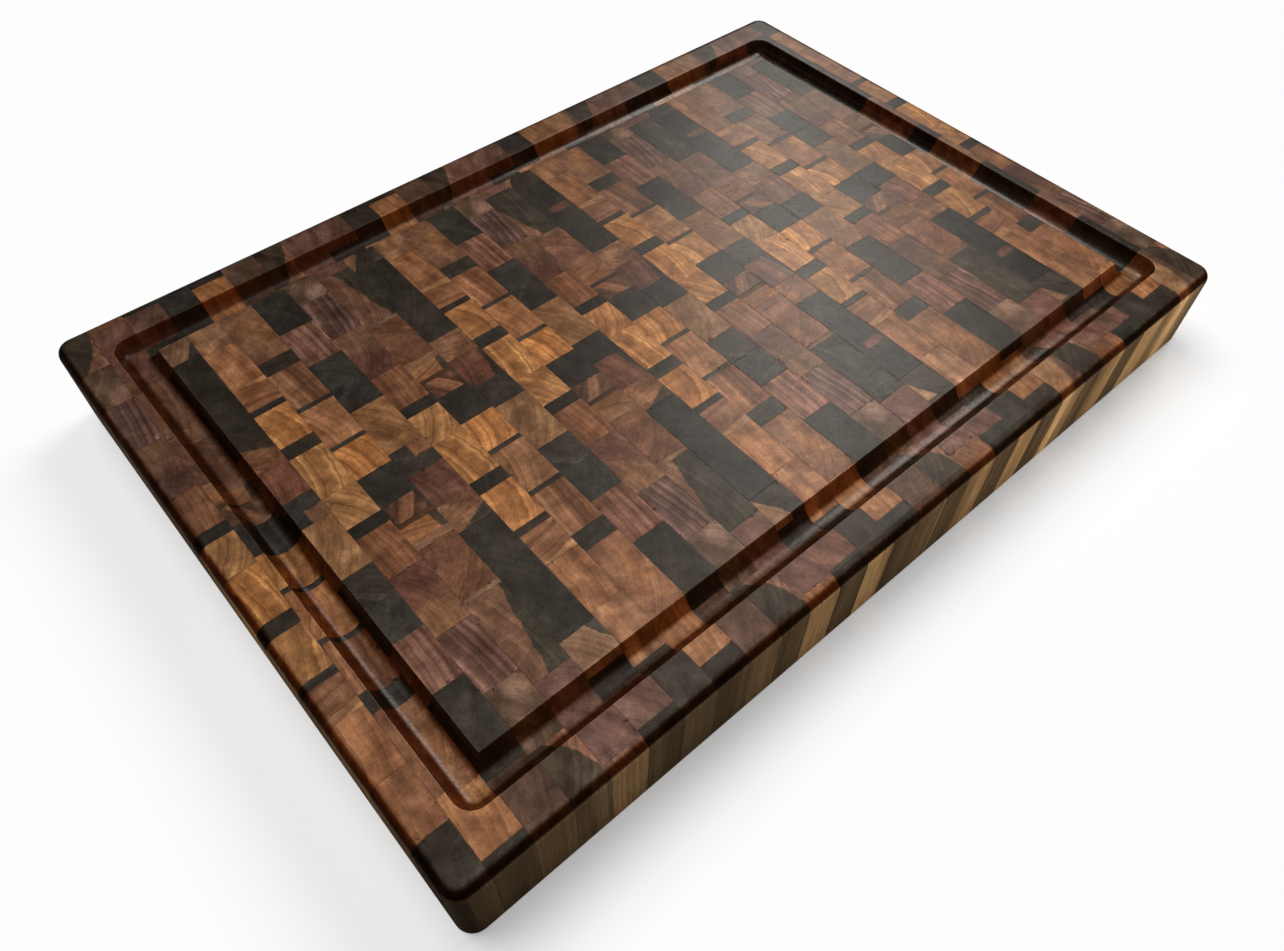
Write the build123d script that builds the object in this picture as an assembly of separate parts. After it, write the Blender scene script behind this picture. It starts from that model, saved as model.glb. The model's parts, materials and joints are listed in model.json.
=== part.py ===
from build123d import *
import os

# End-grain cutting board with a juice groove all round the top.
# Millimetres, +Z up, X along the long side, Y along the short side, origin at the centre of the
# flat bottom face.
# The board is glued up from 48 staves in three panels. The panels are crosscut, turned on end and
# glued side by side as 28 strips in the order A, B, C, A, B, C, with every other set of three
# turned end for end.
# Each file is one stave: all the blocks that were cut from it, each block a solid of its own.

LENGTH = 508.0
WIDTH = 355.6
THICKNESS = 50.8
CORNER_RADIUS = 8.5  # the four upright corners
TOP_ROUND = 6.0  # round-over of the top edge
BOTTOM_ROUND = 2.0  # round-over of the bottom edge

GROOVE_INSET = 30.6  # board edge to the centre line of the groove
GROOVE_RADIUS = 8.9  # radius of the round-nosed cutter
GROOVE_DEPTH = 7.8  # lowest point of the groove under the top face
GROOVE_EDGE = 0.5  # easing of the groove's two upper edges
RIM_MIN_INSET = 12.0  # top-face edges further in than this belong to the groove

# distance from the board edge within which a block may be touched by the groove or the rounding
SHAPED_BORDER = GROOVE_INSET + GROOVE_RADIUS + 2 * GROOVE_EDGE
MIN_SHOW = 2.5  # a block narrower than this at an end of a strip was trimmed away

# X of the joints between strips, with the left and right edges of the board at the ends
STRIP_X = [
    -LENGTH / 2, -236.6, -218.1, -199.6, -182.1, -163.5, -144.6, -127.2, -108.9, -90.4,
    -73.0, -54.7, -36.4, -19.2, -0.8, 18.3, 35.8, 54.9, 73.4, 90.9,
    109.3, 128.4, 146.1, 165.5, 183.4, 200.9, 219.1, 237.1, LENGTH / 2,
]

# how far the joints of each strip are moved towards its panel's +Y end,
# one row for each set of strips A, B, C
STRIP_SHIFTS = [
    4.3, 3.1, 0.0,
    -0.3, 0.0, 0.0,
    -0.2, -1.4, -3.0,
    1.2, 1.7, 0.5,
    -1.5, -1.8, -2.8,
    2.8, 8.6, 4.6,
    -4.7, -2.8, -5.9,
    3.9, 6.8, 3.8,
    -5.4, -4.1, -5.9,
    5.7,
]

# staves of each panel from its +Y end: wood, and the Y of the joint on the stave's +Y side
# (None is the end of the panel)
PANELS = {
    "a": [
        ("dark", None),
        ("russet", 147.2),
        ("honey", 119.5),
        ("brown", 89.4),
        ("dark_thin", 70.5),
        ("amber", 66.4),
        ("dark", 41.0),
        ("honey_ringed", 32.6),
        ("honey_diagonal", 3.4),
        ("dark", -18.2),
        ("russet", -25.4),
        ("olive", -51.4),
        ("umber_streaked", -87.4),
        ("tan_mottled", -119.9),
        ("two_tone", -148.2),
    ],
    "b": [
        ("dark", None),
        ("honey", 168.2),
        ("brown", 139.3),
        ("dark", 96.0),
        ("umber", 85.7),
        ("dark_thin", 57.4),
        ("amber", 54.7),
        ("dark_thin", 26.5),
        ("honey_ringed", 23.8),
        ("dark", 2.3),
        ("brown_diagonal", -18.5),
        ("dark_thin", -30.8),
        ("amber_edged", -33.4),
        ("pink_strip", -43.1),
        ("brown_figured", -47.7),
        ("pale_thin", -80.4),
        ("two_tone", -83.2),
        ("plum", -129.7),
        ("honey", -172.8),
    ],
    "c": [
        ("plum", None),
        ("dark", 146.7),
        ("amber_streaked", 107.5),
        ("dark_grey", 78.9),
        ("umber_diagonal", 58.1),
        ("russet", 39.3),
        ("dark", 5.7),
        ("pink_wedge", -11.7),
        ("tan_radiating", -34.1),
        ("dark_wide", -51.5),
        ("honey_wedge", -122.0),
        ("dark", -140.4),
        ("plum_pale", -150.5),
        ("dark_grey", -170.7),
    ],
}


def is_groove_rim(edge):
    """True for an edge in the top face that lies well inside the board's outline."""
    box = edge.bounding_box()
    return (
        abs(box.min.Z - THICKNESS) < 1e-4
        and max(abs(box.max.X), abs(box.min.X)) < LENGTH / 2 - RIM_MIN_INSET
        and max(abs(box.max.Y), abs(box.min.Y)) < WIDTH / 2 - RIM_MIN_INSET
    )


def make_board():
    """The whole outline: rounded block with the groove cut in the top."""
    board = Pos(0, 0, THICKNESS / 2) * Box(LENGTH, WIDTH, THICKNESS)
    board = fillet(board.edges().filter_by(Axis.Z), CORNER_RADIUS)
    board = fillet(board.edges().group_by(Axis.Z)[-1], TOP_ROUND)
    board = fillet(board.edges().group_by(Axis.Z)[0], BOTTOM_ROUND)

    # four straight runs, then a ball at each corner where they meet
    groove_x = LENGTH / 2 - GROOVE_INSET
    groove_y = WIDTH / 2 - GROOVE_INSET
    groove_z = THICKNESS - GROOVE_DEPTH + GROOVE_RADIUS
    long_run = Rot(0, 90, 0) * Cylinder(GROOVE_RADIUS, 2 * groove_x)
    short_run = Rot(90, 0, 0) * Cylinder(GROOVE_RADIUS, 2 * groove_y)
    for side in (-1, 1):
        board = board - Pos(0, side * groove_y, groove_z) * long_run
        board = board - Pos(side * groove_x, 0, groove_z) * short_run
    for x in (-groove_x, groove_x):
        for y in (-groove_y, groove_y):
            board = board - Pos(x, y, groove_z) * Sphere(GROOVE_RADIUS)
    return fillet([edge for edge in board.edges() if is_groove_rim(edge)], GROOVE_EDGE)


def strip_blocks(strip):
    """[stave name, low y, high y] of every block in a strip, counting strips from 0."""
    set_index, place = divmod(strip, 3)
    letter = "abc"[place]
    staves = PANELS[letter]
    joints = [y + STRIP_SHIFTS[strip] for _, y in staves[1:]]
    ends = [WIDTH / 2] + joints + [-WIDTH / 2]
    blocks = [
        [f"stave_{letter}{i + 1:02d}_{wood}", ends[i + 1], ends[i]]
        for i, (wood, _) in enumerate(staves)
    ]

    # where an end block is trimmed away, its neighbour reaches the board edge
    if blocks[0][2] - blocks[0][1] < MIN_SHOW:
        blocks = blocks[1:]
        blocks[0][2] = WIDTH / 2
    if blocks[-1][2] - blocks[-1][1] < MIN_SHOW:
        blocks = blocks[:-1]
        blocks[-1][1] = -WIDTH / 2

    turned = set_index % 2 == 0
    if turned:
        blocks = [[name, -high, -low] for name, low, high in blocks]
    return blocks


def is_plain(x0, x1, y0, y1):
    """True for a block clear of the board's rounded edges and of the groove."""
    x_limit = LENGTH / 2 - SHAPED_BORDER
    y_limit = WIDTH / 2 - SHAPED_BORDER
    return x0 > -x_limit and x1 < x_limit and y0 > -y_limit and y1 < y_limit


def cut_block(board, x0, x1, y0, y1):
    """The part of the board between the given joints, as a list of solids."""
    centre = Pos((x0 + x1) / 2, (y0 + y1) / 2, THICKNESS / 2)
    blank = centre * Box(x1 - x0, y1 - y0, THICKNESS)
    if is_plain(x0, x1, y0, y1):
        return [blank.solid()]
    return (board & blank).solids()


def make_staves():
    """Stave name to the list of its blocks."""
    board = make_board()
    staves = {}
    for strip, (x0, x1) in enumerate(zip(STRIP_X, STRIP_X[1:])):
        for name, y0, y1 in strip_blocks(strip):
            staves.setdefault(name, []).extend(cut_block(board, x0, x1, y0, y1))
    return staves


os.makedirs("parts", exist_ok=True)
for name, blocks in make_staves().items():
    stave = Compound(children=[Solid(block.wrapped) for block in blocks])
    export_step(stave, f"parts/{name}.step")
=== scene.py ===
"""An end-grain walnut cutting board with a groove near its edge, on a pale studio floor.

The board lies flat with its underside at z = 0: length along X, width along Y. It is cut into
strips that run along Y. Each strip shows the staves of one of three glued panels, a, b or c.
Measures of the board are in millimetres; the scene is in metres.
"""
import json
import math
import random
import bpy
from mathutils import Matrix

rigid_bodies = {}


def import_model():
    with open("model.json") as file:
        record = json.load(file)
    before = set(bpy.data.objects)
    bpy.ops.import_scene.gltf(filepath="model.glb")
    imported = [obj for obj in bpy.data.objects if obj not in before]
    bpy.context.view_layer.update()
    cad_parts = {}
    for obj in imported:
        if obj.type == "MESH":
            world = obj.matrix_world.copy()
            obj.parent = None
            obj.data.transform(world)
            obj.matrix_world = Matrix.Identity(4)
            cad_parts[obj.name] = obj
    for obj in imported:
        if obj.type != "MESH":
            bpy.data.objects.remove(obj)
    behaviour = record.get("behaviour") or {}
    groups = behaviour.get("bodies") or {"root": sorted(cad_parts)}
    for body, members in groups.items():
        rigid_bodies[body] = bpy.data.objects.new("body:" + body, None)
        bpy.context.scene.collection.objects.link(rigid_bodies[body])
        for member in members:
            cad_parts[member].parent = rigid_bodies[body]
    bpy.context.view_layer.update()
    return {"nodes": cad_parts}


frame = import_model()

from types import SimpleNamespace

import bpy
from mathutils import Matrix, Vector

scene = bpy.context.scene

# ---------------------------------------------------------------- the board, in mm
LENGTH, WIDTH, THICK = 508.0, 355.6, 50.8
GROOVE_INSET = 30.6  # from the board's edge to the groove's centre line
STRIP_WIDTH = 18.0   # nominal
# joints between the strips along X; strip k lies between joints k - 1 and k
STRIP_X = [
    -254.0, -236.6, -218.1, -199.6, -182.1, -163.5, -144.6, -127.2, -108.9, -90.4,
    -73.0, -54.7, -36.4, -19.2, -0.8, 18.3, 35.8, 54.9, 73.4, 90.9,
    109.3, 128.4, 146.1, 165.5, 183.4, 200.9, 219.1, 237.1, 254.0]
# how far each strip, from the first, is shifted along its own direction
SHIFT = [
    4.3, 3.1, 0.0, -0.3, 0.0, 0.0, -0.2, -1.4, -3.0, 1.2, 1.7, 0.5, -1.5, -1.8,
    -2.8, 2.8, 8.6, 4.6, -4.7, -2.8, -5.9, 3.9, 6.8, 3.8, -5.4, -4.1, -5.9, 5.7]
SHIFT_RANGE = 40.0    # span of shifts that a ramp's 0 to 1 stands for
STRIP_SPACING = 540.0  # along the grain, between the patterns of ten strips of a panel

# The staves of each panel, from +v to -v along a strip. Columns: place of the stave's upper
# edge; colour of its oiled end grain; direction in degrees in which the growth rings follow
# one another (0 across the strip, 90 along it); their radius of curvature, spacing,
# contrast and waviness.
STAVES = {
    "a": [
        (WIDTH / 2, (0.038, 0.029, 0.021), 10, 60, 3.0, 0.35, 1.0),
        (147.2, (0.211, 0.093, 0.046), 4, 150, 4.0, 0.5, 1.2),
        (119.5, (0.265, 0.113, 0.050), 6, 140, 4.4, 0.75, 1.4),
        (89.4, (0.208, 0.086, 0.042), 84, 70, 3.4, 0.75, 1.6),
        (70.5, (0.040, 0.030, 0.022), 90, 90, 2.2, 0.5, 0.8),
        (66.4, (0.312, 0.133, 0.046), 16, 60, 3.6, 0.8, 2.2),
        (41.0, (0.027, 0.021, 0.015), 20, 70, 3.0, 0.35, 1.0),
        (32.6, (0.365, 0.158, 0.053), -8, 70, 3.1, 1.0, 1.6),
        (3.4, (0.316, 0.141, 0.051), 28, 48, 3.2, 0.9, 1.6),
        (-18.2, (0.024, 0.018, 0.013), 14, 80, 3.0, 0.3, 1.0),
        (-25.4, (0.176, 0.071, 0.033), 3, 160, 3.6, 0.95, 1.0),
        (-51.4, (0.094, 0.038, 0.024), 18, 55, 4.0, 0.6, 2.4),
        (-87.4, (0.144, 0.071, 0.052), 7, 200, 4.2, 1.25, 1.0),
        (-119.9, (0.106, 0.059, 0.035), 40, 22, 3.4, 0.7, 3.0),
        (-148.2, (0.181, 0.083, 0.048), -30, 42, 3.4, 0.7, 1.2)],
    "b": [
        (WIDTH / 2, (0.036, 0.027, 0.020), 60, 60, 3.0, 0.35, 1.0),
        (168.2, (0.294, 0.124, 0.050), 5, 110, 4.0, 0.6, 1.4),
        (139.3, (0.187, 0.082, 0.042), 22, 60, 4.2, 0.6, 2.2),
        (96.0, (0.039, 0.030, 0.022), 70, 60, 2.8, 0.35, 0.8),
        (85.7, (0.186, 0.079, 0.037), 4, 150, 3.2, 0.9, 1.4),
        (57.4, (0.038, 0.029, 0.021), 90, 90, 2.2, 0.5, 0.8),
        (54.7, (0.241, 0.100, 0.042), 14, 46, 5.0, 0.85, 1.4),
        (26.5, (0.041, 0.031, 0.023), 90, 90, 2.2, 0.5, 0.8),
        (23.8, (0.368, 0.153, 0.050), 12, 52, 2.9, 1.0, 1.4),
        (2.3, (0.030, 0.023, 0.017), 35, 60, 3.0, 0.3, 1.0),
        (-18.5, (0.089, 0.040, 0.022), -38, 26, 3.2, 0.8, 2.0),
        (-30.8, (0.068, 0.030, 0.014), 90, 90, 2.2, 0.5, 0.8),
        (-33.4, (0.211, 0.088, 0.035), 70, 40, 2.6, 0.7, 1.2),
        (-43.1, (0.165, 0.073, 0.038), 80, 60, 2.2, 0.5, 1.0),
        (-47.7, (0.153, 0.064, 0.033), -42, 30, 4.4, 0.85, 3.2),
        (-80.4, (0.150, 0.078, 0.042), 90, 90, 2.0, 0.4, 0.8),
        (-83.2, (0.169, 0.080, 0.045), 8, 90, 3.6, 0.7, 1.2),
        (-129.7, (0.136, 0.060, 0.041), 30, 80, 4.6, 0.55, 2.4),
        (-172.8, (0.183, 0.080, 0.038), 20, 60, 3.0, 0.6, 1.2)],
    "c": [
        (WIDTH / 2, (0.090, 0.046, 0.029), 24, 45, 4.0, 0.6, 2.4),
        (146.7, (0.032, 0.025, 0.018), 40, 60, 3.4, 0.3, 1.2),
        (107.5, (0.190, 0.083, 0.051), 2, 170, 3.4, 0.95, 1.2),
        (78.9, (0.032, 0.025, 0.018), 40, 60, 3.4, 0.3, 1.2),
        (58.1, (0.036, 0.027, 0.020), -50, 60, 3.2, 0.7, 1.6),
        (39.3, (0.185, 0.087, 0.037), 30, 60, 4.0, 0.7, 2.6),
        (5.7, (0.029, 0.022, 0.016), 60, 60, 3.2, 0.3, 1.2),
        (-11.7, (0.147, 0.058, 0.034), 8, 60, 4.6, 0.8, 1.6),
        (-34.1, (0.179, 0.077, 0.036), 12, 14, 3.2, 0.55, 1.4),
        (-51.5, (0.030, 0.023, 0.017), 30, 70, 3.6, 0.3, 1.6),
        (-122.0, (0.233, 0.118, 0.062), 35, 60, 3.2, 0.7, 1.2),
        (-140.4, (0.036, 0.027, 0.020), 60, 60, 3.2, 0.3, 1.0),
        (-150.5, (0.133, 0.062, 0.040), 30, 70, 4.2, 0.6, 2.4),
        (-170.7, (0.032, 0.025, 0.018), 60, 60, 3.2, 0.3, 1.0)],
}
RAYS = {"c09": 1.0}  # strength of the extra rays of a stave

GAIN = 0.86  # stave colours to albedo
SLANT_SHADE = (0.27, 0.145, 0.075)  # painted shade for end grain cut at a slant: the groove walls and the rounded edges
SPECULAR = 0.5


def panel_strips(panel):
    return [k for k in range(1, 29) if (k - 1) % 3 == "abc".index(panel)]


def is_turned(strip):
    return ((strip - 1) // 3) % 2 == 0


# ---------------------------------------------------------------- shader nodes as arithmetic
def is_vector(value):
    return isinstance(value, tuple) or isinstance(value, Wire) and value.socket.type != "VALUE"


def put(socket, value):
    """Links a wire to an input, or sets the input's value; colours are given as (r, g, b)."""
    if isinstance(value, Wire):
        socket.id_data.links.new(value.socket, socket)
    elif value is not None:
        socket.default_value = (*value, 1.0) if socket.type == "RGBA" else value


def add_node(tree, kind, inputs=None, **settings):
    node = tree.nodes.new(kind)
    for key, value in settings.items():
        setattr(node, key, value)
    for key, value in (inputs or {}).items():
        put(node.inputs[key], value)
    return node


def apply(kind, inputs, **settings):
    """A new node in the tree of the first wire among its inputs."""
    tree = next(v.socket.id_data for v in inputs.values() if isinstance(v, Wire))
    return add_node(tree, kind, inputs, **settings)


def math_node(operation, *values):
    """Vector math if the first value is a vector or colour; times a number, it is scaled."""
    kind, output = "ShaderNodeMath", "Value"
    if is_vector(values[0]):
        kind = "ShaderNodeVectorMath"
        if operation not in ("LENGTH", "DOT_PRODUCT"):
            output = "Vector"
        if operation == "MULTIPLY" and not is_vector(values[1]):
            operation, values = "SCALE", (values[0], None, None, values[1])
    node = apply(kind, dict(enumerate(values)), operation=operation)
    return Wire(node.outputs[output])


def operator(operation, swapped=False):
    if swapped:
        return lambda self, other: math_node(operation, other, self)
    return lambda self, *others: math_node(operation, self, *others)


class Wire:
    """A node's output; its operators and methods add the nodes that work on it."""

    def __init__(self, socket):
        self.socket = socket

    __add__, __radd__ = operator("ADD"), operator("ADD", swapped=True)
    __sub__, __rsub__ = operator("SUBTRACT"), operator("SUBTRACT", swapped=True)
    __mul__, __rmul__ = operator("MULTIPLY"), operator("MULTIPLY", swapped=True)
    __truediv__, __pow__ = operator("DIVIDE"), operator("POWER")
    __abs__ = operator("ABSOLUTE")
    mul_add = operator("MULTIPLY_ADD")
    min, max = operator("MINIMUM"), operator("MAXIMUM")
    less_than, greater_than = operator("LESS_THAN"), operator("GREATER_THAN")
    fraction, exponent = operator("FRACT"), operator("EXPONENT")
    arctan2 = operator("ARCTAN2")
    length, dot = operator("LENGTH"), operator("DOT_PRODUCT")

    def split(self):
        return [Wire(out) for out in apply("ShaderNodeSeparateXYZ", {0: self}).outputs]

    def remap(self, start, end, low=0.0, high=1.0, clamp=True, smooth="LINEAR"):
        """low at start, high at end, straight between."""
        values = dict(enumerate((self, start, end, low, high)))
        node = apply("ShaderNodeMapRange", values, interpolation_type=smooth, clamp=clamp)
        return Wire(node.outputs[0])

    def step(self, start, end, low=0.0, high=1.0):
        """low before start, high past end, smooth between; start may be the larger one."""
        if start > end:
            start, end, low, high = end, start, high, low
        return self.remap(start, end, low, high, smooth="SMOOTHSTEP")

    def signed(self, start=0.3, end=0.7):
        return self.remap(start, end, -1.0, 1.0)

    def noise(self, scale, detail, rough, output="Fac"):
        """Noise over a place in space, or along a line if this is a number."""
        where, dimensions = ("Vector", "3D") if is_vector(self) else ("W", "1D")
        node = apply("ShaderNodeTexNoise", {
            where: self, "Scale": scale, "Detail": detail, "Roughness": rough,
        }, noise_dimensions=dimensions)
        return Wire(node.outputs[output])


def combine(x, y, z):
    return Wire(apply("ShaderNodeCombineXYZ", {0: x, 1: y, 2: z}).outputs[0])


def mix(mask, first, second):
    """first where the mask is 0, second where it is 1; for numbers or colours."""
    kind, start, output = ("RGBA", 6, 2) if is_vector(first) else ("FLOAT", 2, 0)
    node = apply("ShaderNodeMix", {0: mask, start: first, start + 1: second},
                 data_type=kind, clamp_factor=True)
    return Wire(node.outputs[output])


def weighted_sum(total, *terms):
    """The total plus each (pattern, weight)."""
    for pattern, weight in terms:
        total = pattern.mul_add(weight, total)
    return total


def source(tree, kind, output):
    return Wire(add_node(tree, kind).outputs[output])


def board_point(tree):
    """The place on the board in mm."""
    return source(tree, "ShaderNodeTexCoord", "Object") * 1000.0


def strip_ramp(place, panel, values):
    """The four numbers values(strip) of the panel's strip at a place, as 0 to 1 along X.

    Each stop lies in the gap between two strips of the panel.
    """
    strips = panel_strips(panel)
    node = apply("ShaderNodeValToRGB", {0: place})
    ramp = node.color_ramp
    ramp.interpolation = "CONSTANT"
    ramp.elements.remove(ramp.elements[-1])
    ramp.elements[0].position = 0.0
    ramp.elements[0].color = values(strips[0])
    for strip, following in zip(strips, strips[1:]):
        gap = (STRIP_X[strip] + STRIP_X[following - 1]) / 2
        ramp.elements.new((gap + LENGTH / 2) / LENGTH).color = values(following)
    parts = apply("ShaderNodeSeparateColor", {0: Wire(node.outputs["Color"])})
    return [Wire(out) for out in (*parts.outputs, node.outputs["Alpha"])]


def floats(*names):
    return dict.fromkeys(names, "Float")


def new_group(name, inputs, outputs):
    """A node group with sockets {name: type}: its tree, input wires and output node."""
    tree = bpy.data.node_groups.new(name, "ShaderNodeTree")
    for in_out, sockets in (("INPUT", inputs), ("OUTPUT", outputs)):
        for label, kind in sockets.items():
            tree.interface.new_socket(label, in_out=in_out, socket_type="NodeSocket" + kind)
    start = tree.nodes.new("NodeGroupInput")
    end = tree.nodes.new("NodeGroupOutput")
    return tree, [Wire(start.outputs[label]) for label in inputs], end


def give(node, values):
    for label, value in values.items():
        put(node.inputs[label], value)


# ---------------------------------------------------------------- node groups
def lay_group(panel):
    """Where a point lies in its strip: u across it, v along it, w along the grain, in mm.

    frac is u over the strip's width, fx runs 0 to 1 along the board and seam_u is the
    distance to the nearer glue line beside the strip.
    """
    tree, _, end = new_group("lay_" + panel, {}, floats("u", "v", "w", "frac", "fx", "seam_u"))
    x, y, z = board_point(tree).split()
    place = x.mul_add(1 / LENGTH, 0.5)
    strips = panel_strips(panel)
    left, shift, order, upright = strip_ramp(place, panel, lambda k: (
        STRIP_X[k - 1] / LENGTH + 0.5, SHIFT[k - 1] / SHIFT_RANGE + 0.5,
        strips.index(k) / 10, 0.0 if is_turned(k) else 1.0))
    right = strip_ramp(place, panel, lambda k: (STRIP_X[k] / LENGTH + 0.5, 0.0, 0.0, 1.0))[0]
    left = left.mul_add(LENGTH, -LENGTH / 2)
    right = right.mul_add(LENGTH, -LENGTH / 2)
    across = x - left
    to_right = right - x
    sign = upright.mul_add(2.0, -1.0)
    shift = shift.mul_add(SHIFT_RANGE, -SHIFT_RANGE / 2)
    # the outer faces of the first and last strip aren't glue lines, so they are put far off
    end_face, far = 253.0, 99.0
    seam_left = left.less_than(-end_face).mul_add(far, across)
    seam_right = right.greater_than(end_face).mul_add(far, to_right)
    give(end, {
        "u": across,
        "v": sign * y - shift,
        "w": order * STRIP_SPACING + sign * (z - THICK / 2),
        "frac": across / (right - left),
        "fx": place,
        "seam_u": seam_left.min(seam_right),
    })
    return tree


def figure_group():
    """Growth rings, rays, pores and mottling of end grain, as a change of tone around 0."""
    tree, wires, end = new_group(
        "figure",
        {"q": "Vector", "centre": "Vector",
         **floats("radius", "spacing", "contrast", "wave", "rays", "seed")},
        floats("tone", "bands", "pores", "grit", "wobble"))
    point, centre, radius, spacing, contrast, wave, ray_strength, seed = wires
    offset = combine(seed, seed * 1.7, seed * 0.6)
    seeded = point * (1.0, 1.0, 0.035) + offset
    middle = (0.5, 0.5, 0.5)
    warp = seeded.noise(scale=0.055, detail=3.0, rough=0.55, output="Color") - middle
    fine = seeded.noise(scale=0.30, detail=2.0, rough=0.5, output="Color") - middle
    warped = point * (1.0, 1.0, 0.0) + (warp * (wave * 3.4) + fine * (wave * 0.8))
    ring_x, ring_y, _ = (warped - centre).split()
    along_grain = point.split()[2]
    distance = along_grain.mul_add(0.012, combine(ring_x, ring_y, 0.0).length())
    phase = distance / spacing

    bands = (phase + seed).noise(scale=1.0, detail=3.0, rough=0.62).signed(0.28, 0.72)
    broad = seed.mul_add(2.3, phase).noise(scale=0.33, detail=1.0, rough=0.5).signed()
    saw = broad.mul_add(0.35, phase).fraction()
    late = saw ** 5.0 * saw.step(1.0, 0.93)  # thin dark latewood line
    angle = ring_y.arctan2(ring_x)
    rays = combine(angle * (radius * 1.1), distance * 0.10, seed)
    rays = rays.noise(scale=1.0, detail=2.0, rough=0.6).signed()
    pores = (point * (1.0, 1.0, 0.05)).noise(scale=1.5, detail=1.0, rough=0.6).step(0.57, 0.70)
    grit = (point * (1.0, 1.0, 0.03)).noise(scale=3.2, detail=2.0, rough=0.7)
    mottle = seeded.noise(scale=0.085, detail=3.0, rough=0.6).signed()
    blotch = seeded.noise(scale=0.22, detail=3.0, rough=0.65).signed()
    wobble = (point * (1.0, 1.0, 0.02)).noise(scale=0.16, detail=2.0, rough=0.5) - 0.5
    tone = weighted_sum(
        bands * (contrast * 0.34),
        (broad, contrast * 0.28),
        (late, contrast * -0.60),
        (rays, ray_strength.mul_add(0.30, 0.10)),
        (mottle, 0.44),
        (blotch, 0.21),
        (pores, -0.36),
        (grit - 0.5, 0.85))
    give(end, {"tone": tone, "bands": bands, "pores": pores, "grit": grit, "wobble": wobble})
    return tree


def block_colour(colour, tone, depth, warm):
    """Differs in depth and warmth from block to block; dark rings are redder, light yellower."""
    bright = tone.exponent() * (depth.mul_add(0.30, 0.85) * GAIN)
    warm = warm.mul_add(0.12, -0.06)
    green = tone.mul_add(0.12, 1.0)
    blue = (1.0 - warm) * tone.mul_add(0.18, 1.0)
    return colour * combine(1.0 + warm, green, blue) * bright


def groove_distance(edge_x, edge_y):
    """Distance from the groove's centre line, a rounded rectangle."""
    out_x = GROOVE_INSET - edge_x
    out_y = GROOVE_INSET - edge_y
    outer = combine(out_x.max(0.0), out_y.max(0.0), 0.0).length()
    return abs(outer + out_x.max(out_y).min(0.0))


def scratches(point, x, y):
    """Sanding and knife scratches, crossed at three angles and patchy."""
    found = None
    # angle in degrees, frequency across and along, offset, noise where they start and are full
    for degrees, across, along, offset, start, full in (
            (2, 1.15, 0.05, 3.1, 0.42, 0.74),
            (86, 1.15, 0.06, 9.7, 0.44, 0.76),
            (38, 0.9, 0.035, 17.0, 0.50, 0.78)):
        cosine, sine = math.cos(math.radians(degrees)), math.sin(math.radians(degrees))
        lengthwise = x * cosine + y * sine
        crosswise = x * -sine + y * cosine
        layer = combine(lengthwise * along, crosswise * across, offset)
        layer = layer.noise(scale=1.0, detail=2.0, rough=0.65).remap(start, full)
        found = found.max(layer) if found else layer
    return found * point.noise(scale=0.018, detail=2.0, rough=0.5).step(0.35, 0.62, 0.3, 1.0)


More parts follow.
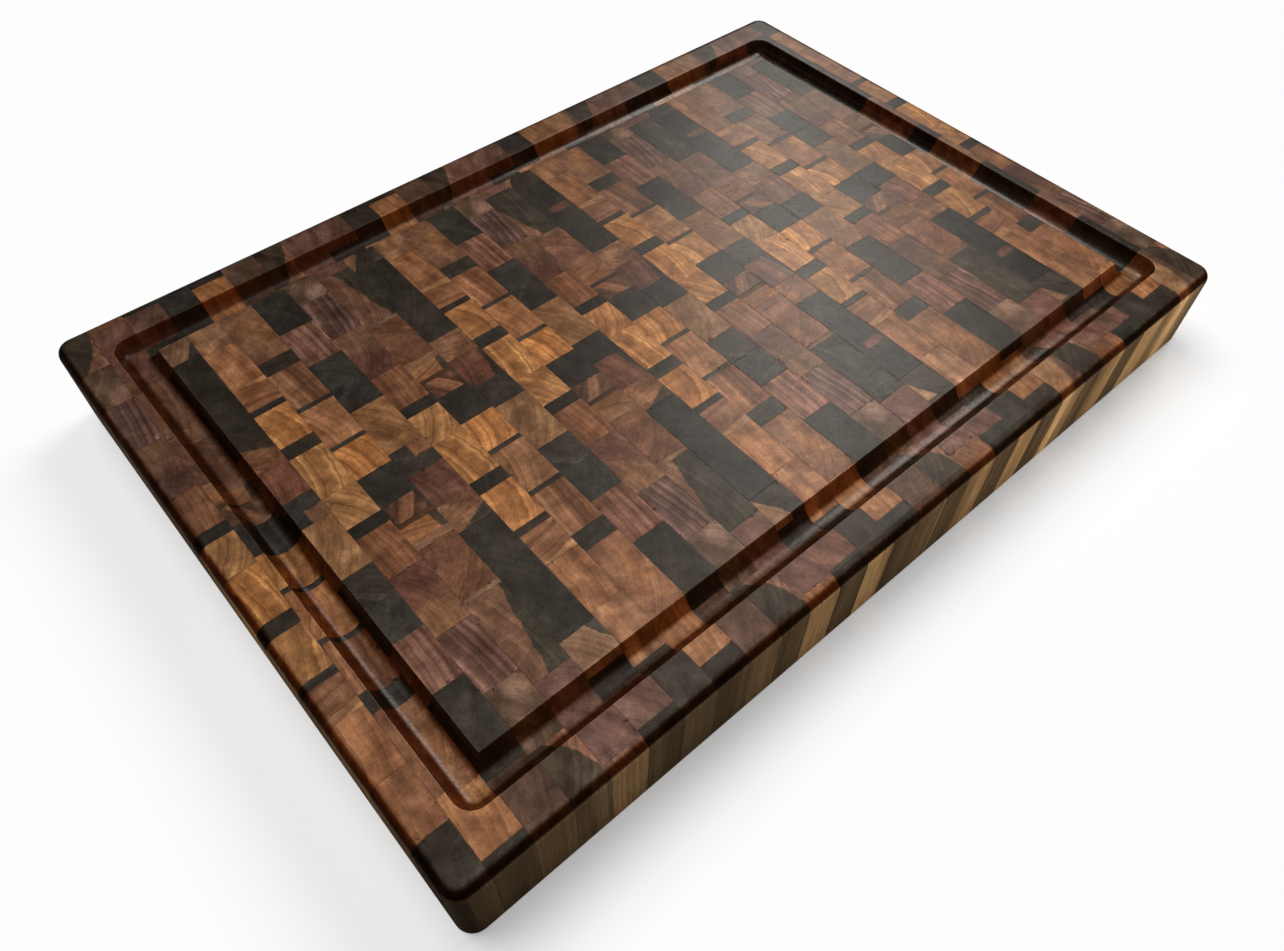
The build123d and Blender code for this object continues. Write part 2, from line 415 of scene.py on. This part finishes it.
def finish_group():
    """Turns a block's colour and tone into the oiled, sanded surface, with painted shade on
    slanted and low parts and a painted highlight on the groove's rims.
    """
    tree, wires, end = new_group(
        "finish",
        {"colour": "Color", "q": "Vector",
         **floats("tone", "bands", "pores", "grit", "seam", "depth", "warm")},
        {"Base Color": "Color", **floats("Roughness", "Specular IOR Level"),
         "Normal": "Vector"})
    colour, grain_point, tone, bands, pores, grit, seam, depth, warm = wires
    point = board_point(tree)
    x, y, z = point.split()
    facing = source(tree, "ShaderNodeNewGeometry", "Normal").split()[2]
    colour = block_colour(colour, tone, depth, warm)

    # where the point lies: groove, sides, slopes between them and the flat top
    edge_x = LENGTH / 2 - abs(x)
    edge_y = WIDTH / 2 - abs(y)
    groove = groove_distance(edge_x, edge_y)
    upper = z.step(30.0, 36.0)
    in_groove = groove.step(9.5, 9.2) * upper
    level = abs(facing)
    side = level.step(0.5, 0.2) * (1.0 - in_groove)
    slope = level.step(0.975, 0.84) * (1.0 - side)
    top_face = facing.step(0.95, 0.99) * upper

    # painted shade: end grain cut at a slant is darkened, and the outer rounding darker still
    colour = mix(slope, colour, colour * SLANT_SHADE)
    # painted shade on the outer rounding near the board's edge
    rounding_shade = level.step(0.90, 0.72) * edge_x.min(edge_y).step(8.0, 6.0) * (1.0 - side)
    colour = mix(rounding_shade, colour, colour * (0.48, 0.44, 0.42))
    # long grain on the sides: a little less saturated, with fine lines, and painted shade that
    # darkens them towards the floor
    lines = (grain_point * (1.0, 1.0, 0.012)).noise(scale=1.1, detail=3.0, rough=0.7)
    luminance = colour.dot((0.4, 0.45, 0.15))
    pale = (1.50, 0.90, 0.38) * luminance.mul_add(1.04, 0.022)
    long_grain = mix(0.75, colour, pale) * (lines - 0.5).mul_add(1.1, 1.0)
    colour = mix(side, colour, long_grain * z.step(0.0, 26.0, 0.72, 1.0))

    # glue lines between blocks, and a few pits along them
    broken = point.noise(scale=0.09, detail=2.0, rough=0.6).step(0.36, 0.56)
    hair = seam.step(0.45, 0.10) * broken.mul_add(0.55, 0.25)
    spots = point.noise(scale=0.55, detail=1.0, rough=0.5).step(0.66, 0.72)
    rare = point.noise(scale=0.035, detail=1.0, rough=0.5).step(0.52, 0.60)
    pits = spots * seam.step(2.2, 0.6) * rare
    colour = mix(hair * 0.62, colour, colour * (0.30, 0.26, 0.24))
    colour = mix(pits, colour, (0.010, 0.007, 0.005))
    # handling wear and a painted highlight on the groove's rims: a lighter line along them
    worn = point.noise(scale=0.06, detail=2.0, rough=0.5).step(0.35, 0.65, 0.25, 1.0)
    rim_wear_highlight = abs(groove - 9.15).step(0.55, 0.15) * upper * worn
    colour = mix(rim_wear_highlight * 0.35, colour, colour * 1.5 + (0.02, 0.013, 0.008))

    scratched = scratches(point, x, y) * top_face
    rough = weighted_sum(
        0.285,
        (scratched, 0.10),
        (grit - 0.5, 0.20),
        (slope.max(in_groove), -0.13),
        (side, 0.08),
        (pores, 0.08),
        (hair, 0.15))
    height = weighted_sum(
        pores * -0.024,
        (grit, 0.042),
        (bands, 0.008),
        (hair, -0.05),
        (pits, -0.25),
        (scratched, -0.040),
        (side * (lines - 0.5), 0.05))
    bump = apply("ShaderNodeBump", {"Strength": 1.0, "Distance": 0.001, "Height": height})
    give(end, {
        "Base Color": colour,
        "Roughness": rough,
        "Specular IOR Level": mix(level.step(0.96, 0.78), SPECULAR, mix(side, 0.12, 0.07)),
        "Normal": Wire(bump.outputs[0]),
    })
    return tree


# ---------------------------------------------------------------- marks inside the staves
# Each function gives a mask. here holds the wires u, v, frac and wobble, and the stave's top
# and low edge. frac places run 0 to 1 across the strip, towards +X; v places are in mm.
def edge(here, start, end, bow, soft):
    """Right of a line from frac start at the top to end at the low edge; left if soft < 0."""
    down = here.v.remap(here.top, here.low, clamp=False)
    line = down.mul_add(end - start, start)
    if bow:
        line = (down * (1.0 - down)).mul_add(4 * bow, line)
    return here.wobble.mul_add(0.16, here.frac - line).step(-soft, soft)


def band(here, middle, half, soft):
    """A band along the strip, around a frac."""
    away = abs(here.wobble.mul_add(0.3, here.frac) - middle)
    return away.step(half + soft, half - soft)


def fade(here, start, end, waver):
    """Rises along v from start to end, with a wavering edge."""
    place = here.wobble.mul_add(waver, here.v) if waver else here.v
    return place.step(start, end)


def spot(here, frac, v, half_width, half_height, soft):
    across = (here.frac - frac) * (STRIP_WIDTH / half_width)
    along = (here.v - v) * (1.0 / half_height)
    away = here.wobble.mul_add(1.4, combine(across, along, 0.0).length())
    return away.step(1.0 + soft * 0.6, 1.0 - soft)


def slash(here, frac_a, v_a, frac_b, v_b, half, soft):
    """A slanting band through two points."""
    start = frac_a * STRIP_WIDTH
    run, rise = frac_b * STRIP_WIDTH - start, v_b - v_a
    reach = math.hypot(run, rise)
    away = (here.u - start) * (-rise / reach) + (here.v - v_a) * (run / reach)
    return abs(here.wobble.mul_add(2.5, away)).step(half + soft, half - soft)


def notch(here, frac, v, soft):
    """The upper right corner beyond a frac and a v."""
    right = here.frac.step(frac - 0.04, frac + 0.04)
    return right * here.wobble.mul_add(3.0, here.v).step(v - soft, v + soft)


def under(here, v, rise, soft):
    """Below a line that starts at v on the left and rises across the strip."""
    depth = here.frac.mul_add(rise, v) - here.wobble.mul_add(2.5, here.v)
    return depth.step(-soft, soft)


def box(here, left, right, low, high, soft):
    inside_u = (here.frac - left).min(right - here.frac)
    inside_v = (here.v - low).min(high - here.v)
    across = here.wobble.mul_add(0.3, inside_u).step(-0.05, 0.12)
    return across * here.wobble.mul_add(2.0, inside_v).step(-soft, soft)


DARK_RED, DARK_OLIVE = (0.045, 0.027, 0.018), (0.044, 0.034, 0.022)
DARK_BROWN = (0.042, 0.030, 0.020)

# per stave: shape, its numbers, colour, strips that show it (None for all)
MARKS = {
    "a01": [(fade, (178.75, 179.05, 0), (0.225, 0.112, 0.040), (13,)),
            (fade, (181.85, 182.15, 0), (0.260, 0.130, 0.048), (19,)),
            (fade, (182.55, 182.85, 0), (0.225, 0.118, 0.050), (25,))],
    "a02": [(band, (0.26, 0.16, 0.10), (0.33, 0.15, 0.07), None)],
    "a04": [(fade, (82.8, 87.7, 4.0), (0.30, 0.14, 0.062), None)],
    "a12": [(fade, (-61.0, -82.0, 8.0), (0.165, 0.078, 0.038), None)],
    "a14": [(spot, (0.74, -125.5, 6.5, 7.0, 0.5), (0.175, 0.095, 0.062), None)],
    "a15": [(edge, (0.36, 1.0, 0.15, -0.025), (0.044, 0.030, 0.019), None)],
    "b01": [(fade, (181.25, 181.55, 0), (0.130, 0.068, 0.032), (26,))],
    "b03": [(spot, (0.62, 118.0, 7.0, 16.0, 0.8), (0.25, 0.108, 0.045), None)],
    "b07": [(edge, (0.62, 0.66, 0.0, 0.14), (0.30, 0.135, 0.056), None)],
    "b11": [(slash, (0.80, -17.0, 0.28, -31.0, 3.0, 0.9), (0.225, 0.100, 0.050), None),
            (edge, (0.86, 0.90, 0.0, 0.04), DARK_RED, (5, 8)),
            (edge, (0.10, 0.04, 0.0, -0.04), DARK_RED, (5, 8))],
    "b13": [(edge, (0.81, 0.83, 0.0, 0.03), DARK_RED, (2, 5, 8))],
    "b17": [(edge, (0.90, 0.42, 0.0, 0.025), DARK_OLIVE, (5, 8)),
            (edge, (0.46, -0.17, 0.0, 0.025), DARK_OLIVE, (11, 14)),
            (edge, (-0.5, -0.5, 0.0, 0.025), DARK_OLIVE, (17, 20, 23, 26))],
    "c01": [(fade, (183.05, 183.35, 0), (0.145, 0.082, 0.038), (21, 27)),
            (edge, (0.62, 0.72, 0.12, -0.10), (0.27, 0.130, 0.060), (18, 21, 24, 27))],
    "c07": [(notch, (0.52, -2.4, 0.5), (0.150, 0.066, 0.032), (3, 6))],
    "c08": [(edge, (0.76, 0.96, 0.0, 0.03), (0.040, 0.026, 0.018), (9, 12, 15, 18))],
    "c09": [(under, (-53.0, 9.0, 0.8), (0.050, 0.033, 0.022), (3, 6, 12))],
    "c10": [(box, (0.30, 0.92, -98.2, -92.8, 0.9), (0.120, 0.050, 0.032), (15, 18, 21, 24))],
    "c11": [(edge, (0.66, 1.20, 0.0, 0.025), DARK_BROWN, (3, 6)),
            (edge, (0.05, 0.62, 0.0, 0.025), DARK_BROWN, (9, 12)),
            (edge, (-0.10, 0.40, 0.0, 0.025), DARK_BROWN, (15, 18, 21, 24, 27))],
}

# ---------------------------------------------------------------- wood materials
LAY = {panel: lay_group(panel) for panel in "abc"}
FIGURE = figure_group()
FINISH = finish_group()


def wood(name):
    """End-grain walnut for one stave: a solid pattern in the stave's own axes."""
    key = name[6:9]  # panel letter and two-digit stave number
    panel, index = key[0], int(key[1:]) - 1
    staves = STAVES[panel]
    top, base, degrees, radius, spacing, contrast, wave = staves[index]
    is_last = index == len(staves) - 1
    low = -WIDTH / 2 if is_last else staves[index + 1][0]
    draw = random.Random("stave " + key)
    seed = draw.uniform(0, 400)
    tint = {k: (draw.uniform(0, 1), draw.uniform(0, 1)) for k in panel_strips(panel)}

    material = bpy.data.materials.new("wood_" + name)
    material.use_nodes = True
    tree = material.node_tree
    tree.nodes.clear()
    lay = add_node(tree, "ShaderNodeGroup", node_tree=LAY[panel])
    across, along, grain, frac, place, seam = (
        Wire(lay.outputs[label]) for label in ("u", "v", "w", "frac", "fx", "seam_u"))
    depth, warm, _, _ = strip_ramp(place, panel, lambda k: (*tint[k], 0.0, 1.0))
    point = combine(across, along, grain)

    angle = math.radians(degrees)
    centre = (STRIP_WIDTH / 2 - radius * math.cos(angle),
              (top + low) / 2 - radius * math.sin(angle), 0.0)
    figure = add_node(tree, "ShaderNodeGroup", node_tree=FIGURE)
    give(figure, {"q": point, "centre": centre, "radius": radius, "spacing": spacing,
                  "contrast": contrast, "wave": wave, "rays": RAYS.get(key, 0.0),
                  "seed": seed})

    colour = source(tree, "ShaderNodeRGB", 0)
    colour.socket.default_value = (*base, 1.0)
    here = SimpleNamespace(u=across, v=along, frac=frac, top=top, low=low,
                           wobble=Wire(figure.outputs["wobble"]))
    for shape, numbers, mark_colour, strips in MARKS.get(key, ()):
        mask = shape(here, *numbers)
        if strips:
            member = strip_ramp(place, panel, lambda k: (float(k in strips),) * 3 + (1.0,))
            mask = mask * member[0]
        colour = mix(mask, colour, mark_colour)

    if index:
        seam = seam.min(abs(along - top))
    if not is_last:
        seam = seam.min(abs(along - low))
    finish = add_node(tree, "ShaderNodeGroup", node_tree=FINISH)
    give(finish, {"colour": colour, "q": point, "seam": seam, "depth": depth, "warm": warm})
    give(finish, {n: Wire(figure.outputs[n]) for n in ("tone", "bands", "pores", "grit")})
    surface = add_node(tree, "ShaderNodeBsdfPrincipled", {"IOR": 1.48})
    give(surface, {out.name: Wire(out) for out in finish.outputs})
    add_node(tree, "ShaderNodeOutputMaterial", {"Surface": Wire(surface.outputs[0])})
    return material


for name, ob in frame["nodes"].items():
    material = wood(name)
    if not ob.material_slots:
        ob.data.materials.append(material)
    for slot in ob.material_slots:
        slot.material = material

# ---------------------------------------------------------------- floor
scene.view_settings.view_transform = "Standard"
scene.view_settings.look = "None"

FLOOR_HALF, FLOOR_Z = 12, -0.0004


def add_object(name, data):
    ob = bpy.data.objects.new(name, data)
    scene.collection.objects.link(ob)
    return ob


def floor_material():
    """Bright to the camera, nearly dark to the board, clear from below to show the underside."""
    material = bpy.data.materials.new("floor")
    material.use_nodes = True
    tree = material.node_tree
    surface = tree.nodes["Principled BSDF"]
    seen = source(tree, "ShaderNodeLightPath", "Is Camera Ray")
    give(surface, {
        "Roughness": 0.9,
        "Specular IOR Level": 0.1,
        "Emission Color": (1, 1, 1),
        "Emission Strength": mix(seen, 0.01, 0.40),
        "Base Color": mix(seen, (0.05, 0.05, 0.05), (0.80, 0.80, 0.80)),
    })
    both = add_node(tree, "ShaderNodeMixShader", {
        0: source(tree, "ShaderNodeNewGeometry", "Backfacing"),
        1: Wire(surface.outputs[0]),
        2: source(tree, "ShaderNodeBsdfTransparent", 0),
    })
    put(tree.nodes["Material Output"].inputs["Surface"], Wire(both.outputs[0]))
    return material


def floor():
    mesh = bpy.data.meshes.new("floor")
    corners = ((-1, -1), (1, -1), (1, 1), (-1, 1))
    mesh.from_pydata([(x * FLOOR_HALF, y * FLOOR_HALF, FLOOR_Z) for x, y in corners],
                     [], [(0, 1, 2, 3)])
    ob = add_object("floor", mesh)
    mesh.materials.append(floor_material())
    return ob


ground = floor()

# ---------------------------------------------------------------- lights
WARM = (1.0, 0.96, 0.89)
BAR = ((0.81, 0.55, 0.75), (0.05, 0.0, 0.05), 0.30)  # place, target and width
BAR_SPAN = (1.1, 54.6)


def area(name, place, target, size, watts, span=None, reflection=False):
    """A soft disk, or a bar with span (length, azimuth in degrees).

    It is either seen only in reflections, and warm, or gives no reflections.
    """
    light = bpy.data.lights.new(name, "AREA")
    light.energy = watts
    ob = add_object(name, light)
    aim = (Vector(target) - Vector(place)).normalized()
    if span:
        length, azimuth = span[0], math.radians(span[1])
        light.shape = "RECTANGLE"
        light.size, light.size_y = length, size
        axis = Vector((math.cos(azimuth), math.sin(azimuth), 0.0))
        aim = (aim - axis * aim.dot(axis)).normalized()
        turn = Matrix((axis, axis.cross(aim), -aim)).transposed()
    else:
        light.shape = "DISK"
        light.size = size
        turn = aim.to_track_quat("-Z", "Y").to_matrix()
    ob.matrix_world = Matrix.Translation(place) @ turn.to_4x4()
    if reflection:
        light.color = WARM
        ob.visible_diffuse = False
    else:
        ob.visible_glossy = False
    return ob


area("strip", *BAR, watts=5.1, span=BAR_SPAN, reflection=True)
area("sheen", (0.05, 0.12, 0.70), (-0.10, -0.10, 0.05), 0.4, watts=0.16, reflection=True)
area("glint", (-0.40, 0.55, 0.74), (-0.22, 0.0, 0.05), 0.06, watts=0.28, span=(0.9, 80.0),
     reflection=True)
area("strip_fill", *BAR, watts=0.9, span=BAR_SPAN)
# name, place, target, diameter, watts
for row in (
        ("over_front", (-0.15, -0.35, 0.60), (-0.10, -0.25, 0.05), 0.35, 1.75),
        ("over_middle", (0.02, -0.14, 0.70), (0.02, -0.14, 0.05), 0.35, 3.55),
        ("front", (0.55, -0.62, 0.12), (0.10, -0.17, 0.03), 0.3, 7.5),
        ("left", (-0.95, 0.05, 0.08), (-0.25, 0.0, 0.03), 0.25, 1.8),
        ("back", (-0.25, 0.85, 0.06), (0.0, 0.17, 0.03), 0.25, 2.6),
        ("right", (1.05, 0.10, 0.06), (0.25, 0.0, 0.03), 0.25, 1.2)):
    area(*row)
below = area("under", (0.0, 0.0, -0.9), (0.0, 0.0, 0.0), 0.8, watts=7.0)

# the lamps above fall on the board only
only_board = bpy.data.collections.new("only_board")
for ob in frame["nodes"].values():
    only_board.objects.link(ob)
for ob in scene.objects:
    if ob.type == "LIGHT":
        ob.light_linking.receiver_collection = only_board
below.light_linking.blocker_collection = only_board

# two soft suns fall on the floor only, for the shadow around the board
only_floor = bpy.data.collections.new("only_floor")
only_floor.objects.link(ground)
# name, azimuth and height in degrees, strength, angular size in degrees
for name, azimuth, height, strength, spread in (
        ("floor_back", 106, 66, 1.72, 42), ("floor_right", 12, 44, 0.98, 26)):
    sun = bpy.data.lights.new(name, "SUN")
    sun.energy = strength
    sun.angle = math.radians(spread)
    ob = add_object(name, sun)
    ob.rotation_euler = (math.radians(90 - height), 0.0, math.radians(azimuth + 90))
    ob.light_linking.receiver_collection = only_floor

# the world is bright to the camera only
world = bpy.data.worlds.new("studio")
scene.world = world
world.use_nodes = True
seen = source(world.node_tree, "ShaderNodeLightPath", "Is Camera Ray")
give(world.node_tree.nodes["Background"], {0: (1.0, 1.0, 1.0), 1: mix(seen, 0.014, 0.97)})

# ---------------------------------------------------------------- camera
CAMERA_PLACE = (-0.26441968953, -0.28151928152, 0.40887634433)
# axis times angle of the turn from the world to a view with y down and z forward
VIEW_TURN = Vector((2.361021860948905, -0.8783007690954798, 0.3147535262737304))

camera = bpy.data.cameras.new("camera")
camera_object = add_object("camera", camera)
camera_object.matrix_world = (
    Matrix.Translation(CAMERA_PLACE)
    @ Matrix.Rotation(-VIEW_TURN.length, 4, VIEW_TURN)
    @ Matrix.Diagonal((1, -1, -1, 1)))
camera.sensor_width = 36
camera.lens = 27.56660013
camera.clip_start = 0.01
scene.camera = camera_object
